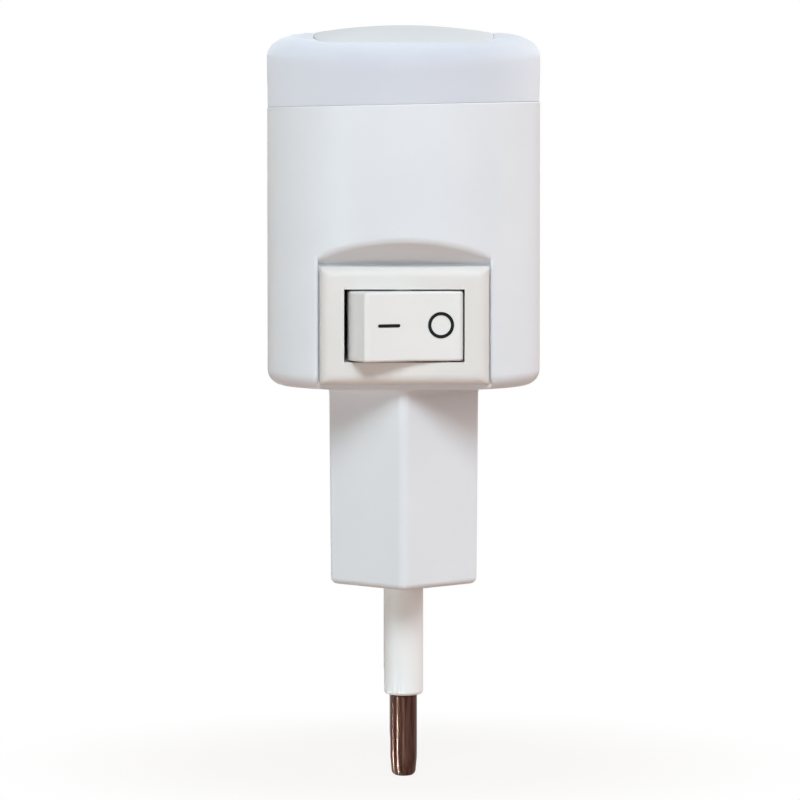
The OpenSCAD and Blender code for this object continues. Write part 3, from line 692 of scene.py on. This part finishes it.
def make_switch_case(material):
    """Bevelled frame, with its body, clips, window, axle holes, terminals' slots and stop."""
    half_w = (case_high.x - case_low.x) / 2
    half_h = (case_high.z - case_low.z) / 2
    window_x, window_z, blade_z = WINDOW_W / 2, WINDOW_H / 2, BLADE_W / 2

    def is_front(edge):
        return all(near(v.co.y, FRAME_Y) for v in edge.verts)

    def is_mitre(edge):
        """Edge on the bevel's diagonal, from a corner of the front to one of the frame."""
        a, b = (v.co for v in edge.verts)
        one_corner = (near(abs(a.x), abs(b.x), 1) and a.x * b.x > 0
                      and (a.z - SWITCH_Z) * (b.z - SWITCH_Z) > 0)
        return one_corner and all(
            near(half_w - abs(p.x), half_h - abs(p.z - SWITCH_Z)) for p in (a, b))

    def is_window(edge):
        return is_front(edge) and all(
            abs(v.co.x) < window_x + 0.01 and abs(v.co.z - SWITCH_Z) < window_z + 0.01
            for v in edge.verts)

    case = block("switch_frame", (case_low.x, FRAME_Y, case_low.z),
                 (case_high.x, POCKET_FLOOR - GAP, case_high.z))
    edit(case)
    pick("EDGE", is_front)
    round_edges(FRAME_R, 8)
    pick("EDGE", is_mitre)
    round_edges(MITRE_R, 4)
    done()
    fuse(case, block("switch_body", (-BODY_W / 2, FRAME_Y + FRAME_R, SWITCH_Z - BODY_H / 2),
                     (BODY_W / 2, BODY_BACK, SWITCH_Z + BODY_H / 2)))
    for side in (-1, 1):
        fuse(case, clip(side))
    cut(case, block("window", (-window_x, FRAME_Y - PAST, SWITCH_Z - window_z),
                    (window_x, CAVITY_Y, SWITCH_Z + window_z)))
    edit(case)
    pick("EDGE", is_window)
    round_edges(WINDOW_R, 2)
    done()
    bore = rod("bore", -window_z - AXLE_HOLE, window_z + AXLE_HOLE, AXLE_R + AXLE_FIT)
    reshape(bore, lambda p: p + Vector((0, AXLE_Y, SWITCH_Z)))
    cut(case, bore)
    for x in (0, SIDE_X):
        cut(case, block("slot", (x - SLOT_W / 2, CAVITY_Y - PAST, SWITCH_Z - blade_z - GAP),
                        (x + SLOT_W / 2, BODY_BACK + PAST, SWITCH_Z + blade_z + GAP)))
    fuse(case, block("stop", (-SIDE_X - STOP_W / 2, STOP_Y, SWITCH_Z - blade_z),
                     (-SIDE_X + STOP_W / 2, CAVITY_Y + STOP_IN, SWITCH_Z + blade_z)))
    merge_points(case)
    finish_piece(case, "light", ["switch_case"], material)


def on_rocker(obj):
    """Turns and moves a shape made about the axle to its place at rest."""
    turn = Matrix.Rotation(math.radians(TILT_DEG), 4, "Z")
    place = Matrix.Translation((0, AXLE_Y, SWITCH_Z)) @ turn
    reshape(obj, lambda p: place @ p)


def make_rocker(material):
    """Paddle with a folded face and round ends, the stem behind it, and its axle."""
    corner_x, corner_y = CORNER
    half = ROCKER_H / 2

    def end(radius):
        """One end of the paddle, from its face to the back."""
        points = arc((0, 0), radius, TILT_DEG, ROUND_END, 10)
        return [(corner_x, -corner_y)] + [(x, -y) for x, y in points]

    def is_tip(edge):
        """Edge across the paddle where its face meets a round end."""
        return all(near(abs(v.co.x), corner_x) and near(v.co.y, -corner_y) for v in edge.verts)

    def is_rim(edge):
        """Edge of the face or of a round end that runs along a side."""
        a, b = (v.co for v in edge.verts)
        return near(a.z, b.z) and a.y < 1

    left, right = (end(radius) for radius in ROCKER_R)
    outline = [(0, -CREASE)] + right + [(-x, y) for x, y in reversed(left)]
    paddle = prism_of("rocker_paddle", outline, -half, half)
    edit(paddle)
    pick("EDGE", is_tip)
    round_edges(ROCKER_TIP_R, 6)
    pick("EDGE", is_rim)
    round_edges(ROCKER_RIM_R, 5)
    done()
    fuse(paddle, block("stem", (-STEM_W / 2, -1, -half), (STEM_W / 2, STEM_END, half)))
    bore = rod("bore", BORE_START, STEM_END + PAST, BORE_R)
    turn = Matrix.Rotation(-math.pi / 2, 4, "X")
    reshape(bore, lambda p: turn @ p)
    cut(paddle, bore)
    axle = WINDOW_H / 2 + AXLE_END
    fuse(paddle, rod("axle", -axle, axle, AXLE_R))
    merge_points(paddle)
    on_rocker(paddle)
    finish_piece(paddle, "rocker", ["rocker"], material)


# ---- Materials ----

class Wire:
    """An output socket, with arithmetic by Math nodes."""

    def __init__(self, tree, socket):
        self.tree, self.socket = tree, socket

    def __add__(self, other):
        return self.tree.math("ADD", self, other)

    def __sub__(self, other):
        return self.tree.math("SUBTRACT", self, other)

    def __rsub__(self, other):
        return self.tree.math("SUBTRACT", other, self)

    def __mul__(self, other):
        return self.tree.math("MULTIPLY", self, other)

    def __abs__(self):
        return self.tree.math("ABSOLUTE", self)

    __radd__ = __add__
    __rmul__ = __mul__

    def share(self, low, high):
        """0 where the value is low, 1 where it is high, with a soft turn between."""
        return self.tree.node("ShaderNodeMapRange", {"interpolation_type": "SMOOTHSTEP"},
                              {"Value": self, "From Min": low, "From Max": high})


class Tree:
    """The nodes of a material or of the world, added and wired one at a time."""

    def __init__(self, owner):
        owner.use_nodes = True
        self.nodes, self.links = owner.node_tree.nodes, owner.node_tree.links

    def node(self, kind, settings=None, values=None, output=0):
        """Adds a node, with its settings first, then the values or wires of its sockets."""
        made = self.nodes.new(kind)
        for name, value in (settings or {}).items():
            setattr(made, name, value)
        for socket, value in (values or {}).items():
            self.feed(made.inputs[socket], value)
        return Wire(self, made.outputs[output])

    def feed(self, socket, value):
        if isinstance(value, Wire):
            self.links.new(value.socket, socket)
        else:
            socket.default_value = value

    def math(self, operation, *values):
        return self.node("ShaderNodeMath", {"operation": operation}, dict(enumerate(values)))

    def part(self, vector, letter):
        """X, Y or Z of a vector."""
        return self.node("ShaderNodeSeparateXYZ", values={"Vector": vector}, output=letter)

    def over(self, kind, share, shader):
        """Puts white light over a shader, as much of it as share says, and ends the tree there."""
        white = self.node("ShaderNode" + kind, values={"Color": (1, 1, 1, 1), "Strength": 1})
        both = self.node("ShaderNodeMixShader", values={0: share, 1: shader, 2: white})
        ends = {"Emission": "Material Output", "Background": "World Output"}
        self.feed(self.nodes[ends[kind]].inputs["Surface"], both)

    def rays(self):
        """Whether a ray is the camera's, and whether it is a reflection or passes through glass."""
        seen, gloss, through = (self.node("ShaderNodeLightPath", output="Is %s Ray" % kind)
                                for kind in ("Camera", "Glossy", "Transmission"))
        return seen, gloss + through


class Finish(Tree):
    """One material: constants on its shader, and the nodes that vary over the surface."""

    def __init__(self, name, colour, roughness, **constants):
        self.material = bpy.data.materials.new(name)
        super().__init__(self.material)
        self.shader = self.nodes["Principled BSDF"]
        self.set("Base Color", (*colour, 1))
        self.set("Roughness", roughness)
        for socket, value in constants.items():
            self.set(socket.replace("_", " "), value)
        where = self.node("ShaderNodeTexCoord", output="Object")
        self.place = self.node("ShaderNodeMapping",
                               values={"Vector": where, "Scale": (1 / MM,) * 3})

    def set(self, socket, value):
        self.feed(self.shader.inputs[socket], value)

    def axis(self, letter):
        """Place along X, Y or Z in millimetres."""
        return self.part(self.place, letter)

    def noise(self, size, detail=2.0, stretch=(1, 1, 1)):
        """Cloudy pattern from 0 to 1: size is a cloud's width in millimetres."""
        where = self.node("ShaderNodeMapping", values={"Vector": self.place, "Scale": stretch})
        return self.node("ShaderNodeTexNoise",
                         values={"Vector": where, "Scale": 1 / size, "Detail": detail})

    def mix(self, share, a, b):
        """Colour a where share is 0, colour b where it is 1."""
        a, b = (value if isinstance(value, Wire) else (*value, 1) for value in (a, b))
        return self.node("ShaderNodeMix", {"data_type": "RGBA"}, {0: share, 6: a, 7: b}, output=2)

    def clouded(self, clouds, pale, deep):
        """Two close tones: the deeper one where the clouds are thick."""
        return self.mix(clouds.share(0.3, 0.75), pale, deep)

    def bump(self, height, depth):
        """Relief of a height from 0 to 1, depth millimetres deep."""
        values = {"Height": height, "Distance": depth * MM}
        self.set("Normal", self.node("ShaderNodeBump", values=values))


def scaled(colour, share):
    return tuple(share * c for c in colour)


def moulded(name, pale, deep, roughness, **constants):
    """Moulded plastic: slow clouds, a fine satin grain and faint rubbed patches."""
    finish = Finish(name, pale, roughness, **constants)
    finish.set("Base Color", finish.clouded(finish.noise(9, 3), pale, deep))
    finish.set("Roughness", roughness - 0.06 + 0.12 * finish.noise(3.5, 4))
    grain = 0.16
    finish.bump(finish.noise(grain) + 0.35 * finish.noise(grain * 6), 0.0035)
    return finish.material


def frosted(name, pale, deep, roughness, painted_light_at_seam=None, **constants):
    """Milky plastic: slow clouds, very fine frost, and, if a tone is given, painted light: the wall
    painted paler towards the seam.
    """
    finish = Finish(name, pale, roughness, **constants)
    tone = finish.clouded(finish.noise(7, 3), pale, deep)
    # Painted light: the cap's lower wall is painted paler than its top by the lens, as if it were lit
    # more.
    if painted_light_at_seam:
        low = finish.axis("Z").share(*PAINTED_LIGHT_FADE)
        tone = finish.mix(low * 0.6, tone, painted_light_at_seam)
    finish.set("Base Color", tone)
    finish.set("Roughness", roughness - 0.05 + 0.1 * finish.noise(2.5, 4))
    finish.bump(finish.noise(0.1), 0.003)
    return finish.material


def worn_metal(name, bright, dull, dark, roughness, streak, along):
    """Drawn metal: streaks along its length, dull patches and fine scratches."""
    finish = Finish(name, bright, roughness, Metallic=1.0)
    streaks = finish.noise(streak, 3, along)
    patches = finish.noise(2.2, 4, (1, 1, 0.6))
    tone = finish.mix(streaks.share(0.35, 0.65), bright, dull)
    finish.set("Base Color", finish.mix(patches.share(0.5, 0.75), tone, dark))
    finish.set("Roughness", roughness - 0.08 + 0.25 * patches)
    finish.bump(finish.noise(streak * 0.35, 2, along), 0.006)
    return finish.material


def metal_with_painted_reflection(name, bright, dark, roughness):
    """Drawn pin: its grain spreads reflections along it; its dark brown colour, streaked down its
    length, is a painted reflection of dark brown surroundings.
    """
    finish = Finish(name, bright, roughness,
                    Metallic=1.0, Anisotropic=1.0, Anisotropic_Rotation=0.25)
    # Painted reflection: the dark brown streaks down the pin stand in for mirrored surroundings.
    streaks = finish.noise(0.3, 3, (1, 1, 0.05))
    finish.set("Base Color", finish.mix(streaks.share(0.35, 0.65), bright, dark))
    finish.set("Roughness", roughness - 0.04 + 0.08 * finish.noise(0.25, 3))
    finish.bump(finish.noise(0.09, 2, (1, 1, 0.3)), 0.0009)
    return finish.material


def printed(name, colour):
    """Pad-printed ink: almost black, a little uneven where the print is thin."""
    finish = Finish(name, colour, 0.45, Specular_IOR_Level=0.12)
    thin = finish.noise(0.5, 3)
    finish.set("Base Color", finish.mix(thin.share(0.55, 0.85), colour, scaled(colour, 2.5)))
    finish.set("Roughness", 0.4 + 0.15 * thin)
    finish.bump(finish.noise(0.08), 0.004)
    return finish.material


def laminate(name, green, pale, gold):
    """Circuit board: woven glass under green lacquer, with paler tracks between its parts."""
    finish = Finish(name, green, 0.35)
    threads, spacing = 1.6, 1.6         # threads in a millimetre, and half the tracks' spacing
    weave = finish.node("ShaderNodeTexChecker", values={"Vector": finish.place, "Scale": threads},
                        output="Fac")
    waves = finish.noise(4.5, 1, (1, 0.25, 1))
    tracks = finish.math("PINGPONG", finish.axis("X") + 2 * waves, spacing).share(0.35, 0.25)
    cloth = finish.mix(weave * 0.35, green, pale)
    finish.set("Base Color", finish.mix(tracks * (0.35 + 0.02 * finish.axis("Y")), cloth, gold))
    finish.set("Roughness", 0.3 + 0.2 * finish.noise(1.2, 3))
    finish.bump(weave * 0.3 + tracks, 0.02)
    return finish.material


def phosphor(name, pale, amber):
    """Diodes: a pale case whose round window holds yellow phosphor."""
    spacing, window_edge = 11, (2.1, 1.95)
    finish = Finish(name, pale, 0.4)
    x = finish.axis("X")
    y = finish.math("WRAP", finish.axis("Y"), spacing / 2, -spacing / 2)
    reach = finish.math("SQRT", x * x + y * y)
    grain = finish.noise(0.25, 3)
    window = finish.mix(grain, amber, scaled(amber, 0.8))
    finish.set("Base Color", finish.mix(reach.share(*window_edge), pale, window))
    finish.set("Roughness", 0.35 + 0.2 * grain)
    finish.bump(grain, 0.01)
    return finish.material


def coated(name, colour, shade, roughness, grain, depth, bands=()):
    """Dipped, moulded or lacquered part: uneven gloss, orange peel, and rings at places along Y."""
    finish = Finish(name, colour, roughness)
    clouds = finish.noise(grain * 4, 3)
    tone = finish.clouded(clouds, colour, shade)
    band_edge = (0.34, 0.28)
    for at, ring in bands:
        off = abs(finish.axis("Y") - at)
        tone = finish.mix(off.share(*band_edge), tone, ring)
    finish.set("Base Color", tone)
    finish.set("Roughness", roughness - 0.08 + 0.2 * clouds)
    finish.bump(finish.noise(grain, 3), depth)
    return finish.material


def dress(node, material):
    """Gives a CAD node's object a material."""
    for place in bpy.data.objects[node].material_slots:
        place.material = material


# ---- Pieces that show ----

make_housing(moulded("white_plastic", (0.77, 0.78, 0.82), (0.75, 0.762, 0.805), 0.42,
                     Specular_IOR_Level=0.3, Diffuse_Roughness=0.5))
# The cap's paler tone at the seam is painted light.
make_cap(frosted("frosted_plastic", (0.7, 0.71, 0.775), (0.68, 0.695, 0.765), 0.6,
                 painted_light_at_seam=(0.71, 0.72, 0.78), Specular_IOR_Level=0.25, Sheen_Weight=0.35,
                 Sheen_Roughness=0.5, Diffuse_Roughness=1.0))
make_lens(frosted("lens_plastic", (0.8, 0.805, 0.825), (0.78, 0.785, 0.81), 0.6,
                  Specular_IOR_Level=0.15))
sleeve_plastic = moulded("sleeve_plastic", (0.86, 0.87, 0.89), (0.83, 0.83, 0.85), 0.4)
# The pins' dark brown colours are a painted reflection of dark brown surroundings.
pin_metal = metal_with_painted_reflection("pin_metal", (0.135, 0.073, 0.058), (0.06, 0.026, 0.021), 0.3)
for side, end in ((-1, "front"), (1, "rear")):
    make_sleeve(side, end + "_pin_sleeve", end + "_sleeve", sleeve_plastic)
    make_pin(side, end + "_contact_pin", end + "_pin", pin_metal)
make_switch_case(moulded("switch_plastic", (0.735, 0.71, 0.705), (0.715, 0.69, 0.685), 0.5,
                         Specular_IOR_Level=0.15))
make_rocker(moulded("rocker_plastic", (0.79, 0.78, 0.785), (0.77, 0.76, 0.765), 0.34,
                    Specular_IOR_Level=0.4))


# ---- CAD nodes that keep their own meshes: the marks, and the pieces inside ----

black_print = printed("black_print", (0.009, 0.01, 0.013))
contact_brass = worn_metal("contact_brass", (0.72, 0.52, 0.22), (0.6, 0.42, 0.17),
                           (0.4, 0.27, 0.12), 0.32, 0.5, (1, 0.1, 1))
spring_steel = worn_metal("spring_steel", (0.55, 0.54, 0.52), (0.42, 0.41, 0.4),
                          (0.3, 0.28, 0.26), 0.28, 0.2, (1, 1, 1))
led_phosphor = phosphor("led_phosphor", (0.8, 0.79, 0.74), (0.78, 0.55, 0.1))
board_laminate = laminate("board_laminate", (0.02, 0.16, 0.06), (0.05, 0.22, 0.09),
                          (0.06, 0.3, 0.1))
for material, nodes in (
        (black_print, ("dash_mark", "ring_mark")),
        (contact_brass, ("plunger", "contact_lever", "centre_terminal", "side_terminal")),
        (spring_steel, ("plunger_spring",)),
        (led_phosphor, ("led_front", "led_middle", "led_rear")),
        (board_laminate, ("circuit_board",))):
    for node in nodes:
        dress(node, material)

BROWN, BLACK = (0.25, 0.12, 0.05), (0.02, 0.02, 0.02)
YELLOW, GOLD = (0.7, 0.5, 0.03), (0.5, 0.36, 0.08)
tan_rings = ((7.1, BROWN), (8.2, BLACK), (9.3, YELLOW), (11.2, GOLD))
blue_rings = ((6.4, BROWN), (7.7, BLACK), (9.0, BLACK), (11.8, GOLD))
for node, *looks in (
        ("film_capacitor", "film_epoxy",
         (0.36, 0.05, 0.025), (0.27, 0.035, 0.02), 0.25, 0.6, 0.02),
        ("smoothing_capacitor", "can_sleeve",
         (0.02, 0.025, 0.045), (0.012, 0.015, 0.03), 0.3, 0.5, 0.008),
        ("bridge_rectifier", "black_epoxy",
         (0.018, 0.018, 0.02), (0.03, 0.03, 0.032), 0.55, 0.14, 0.02),
        ("discharge_resistor", "tan_lacquer",
         (0.62, 0.44, 0.22), (0.55, 0.38, 0.18), 0.3, 0.4, 0.01, tan_rings),
        ("fuse_resistor", "blue_lacquer",
         (0.2, 0.36, 0.46), (0.15, 0.3, 0.4), 0.3, 0.4, 0.01, blue_rings),
        ("live_lead", "brown_insulation",
         (0.16, 0.06, 0.03), (0.13, 0.05, 0.025), 0.4, 0.25, 0.006),
        ("switched_lead", "red_insulation",
         (0.5, 0.03, 0.02), (0.42, 0.025, 0.018), 0.4, 0.25, 0.006),
        ("neutral_lead", "blue_insulation",
         (0.02, 0.07, 0.32), (0.018, 0.055, 0.27), 0.4, 0.25, 0.006)):
    dress(node, coated(*looks))


# ---- Camera, light and floor, in metres ----

def aim(obj, place, target):
    obj.location = place
    obj.rotation_euler = (Vector(target) - Vector(place)).to_track_quat("-Z", "Y").to_euler()


def make_camera(place, target):
    data = bpy.data.cameras.new("camera")
    data.lens = 212.33
    data.sensor_width = 36
    data.clip_start = 0.01
    data.clip_end = 10
    camera = bpy.data.objects.new("camera", data)
    bpy.context.scene.collection.objects.link(camera)
    aim(camera, place, target)
    bpy.context.scene.camera = camera


def make_lamp(name, place, size, power, colour, target=(0, 0, 0.02), spread=180):
    data = bpy.data.lights.new(name, "AREA")
    data.spread = math.radians(spread)
    data.shape = "ELLIPSE"
    data.size, data.size_y = size
    data.energy = power
    data.color = colour
    lamp = bpy.data.objects.new(name, data)
    bpy.context.scene.collection.objects.link(lamp)
    aim(lamp, place, target)


def make_floor(colour):
    """Warm pale floor: to the camera it fades to white away from the object's soft shadow."""
    floor = add("floor", bpy.ops.mesh.primitive_plane_add, size=6, location=(0, 0, cad_bounds[0].z))
    finish = Finish("floor", colour, 0.9, Specular_IOR_Level=0.1)
    finish.set("Base Color", finish.mix(finish.noise(25), colour, scaled(colour, 0.96)))
    under_pins, in_metal = 0.88, 0.15   # shares of white: in view under the pins, in reflections
    shadow_fade = (12, 45)              # millimetres from the middle
    x, y = finish.axis("X"), finish.axis("Y")
    away = finish.math("SQRT", x * x + y * y).share(*shadow_fade)
    seen, mirrored = finish.rays()
    white = seen * (under_pins + (1 - under_pins) * away) + in_metal * mirrored
    finish.over("Emission", white, Wire(finish, finish.shader.outputs[0]))
    floor.data.materials.append(finish.material)


def make_sky(colour):
    """Soft light that grows to the right, less to the back, and is white in view and reflected."""
    from_behind = 0.42
    world = bpy.data.worlds.new("sky")
    bpy.context.scene.world = world
    sky = Tree(world)
    where = sky.node("ShaderNodeTexCoord", output="Generated")
    right, back = (sky.math("MAXIMUM", sky.part(where, letter), 0) for letter in "XY")
    light = sky.node("ShaderNodeBackground",
                     values={"Color": (*colour, 1), "Strength": right + from_behind * back})
    seen, mirrored = sky.rays()
    sky.over("Background", seen + mirrored, light)


make_camera((-0.003, -0.466, 0.04621), (-0.0003, 0, 0.01719))
make_floor((0.58, 0.42, 0.34))
make_lamp("key", (0.01, -0.65, 0.53), (0.36, 0.36), 5, (0.84, 0.96, 0.99))
make_lamp("strip", (-0.52, -0.38, 0.02), (0.15, 0.06), 0.9, (0.84, 0.95, 0.96))
# Two low lamps with so narrow a spread that they light only the pins, for the streak down them.
on_pins = {"target": (0, -0.009, -0.03), "spread": 3}
make_lamp("pin_streak", (-0.52, -0.36, -0.01), (0.44, 0.012), 0.19, (0.65, 0.96, 1), **on_pins)
make_lamp("pin_side", (-0.6, 0.16, -0.01), (0.7, 0.012), 0.16, (0.95, 1, 1), **on_pins)
make_sky((1.4, 1.34, 1.32))
bpy.context.scene.view_settings.view_transform = "Standard"
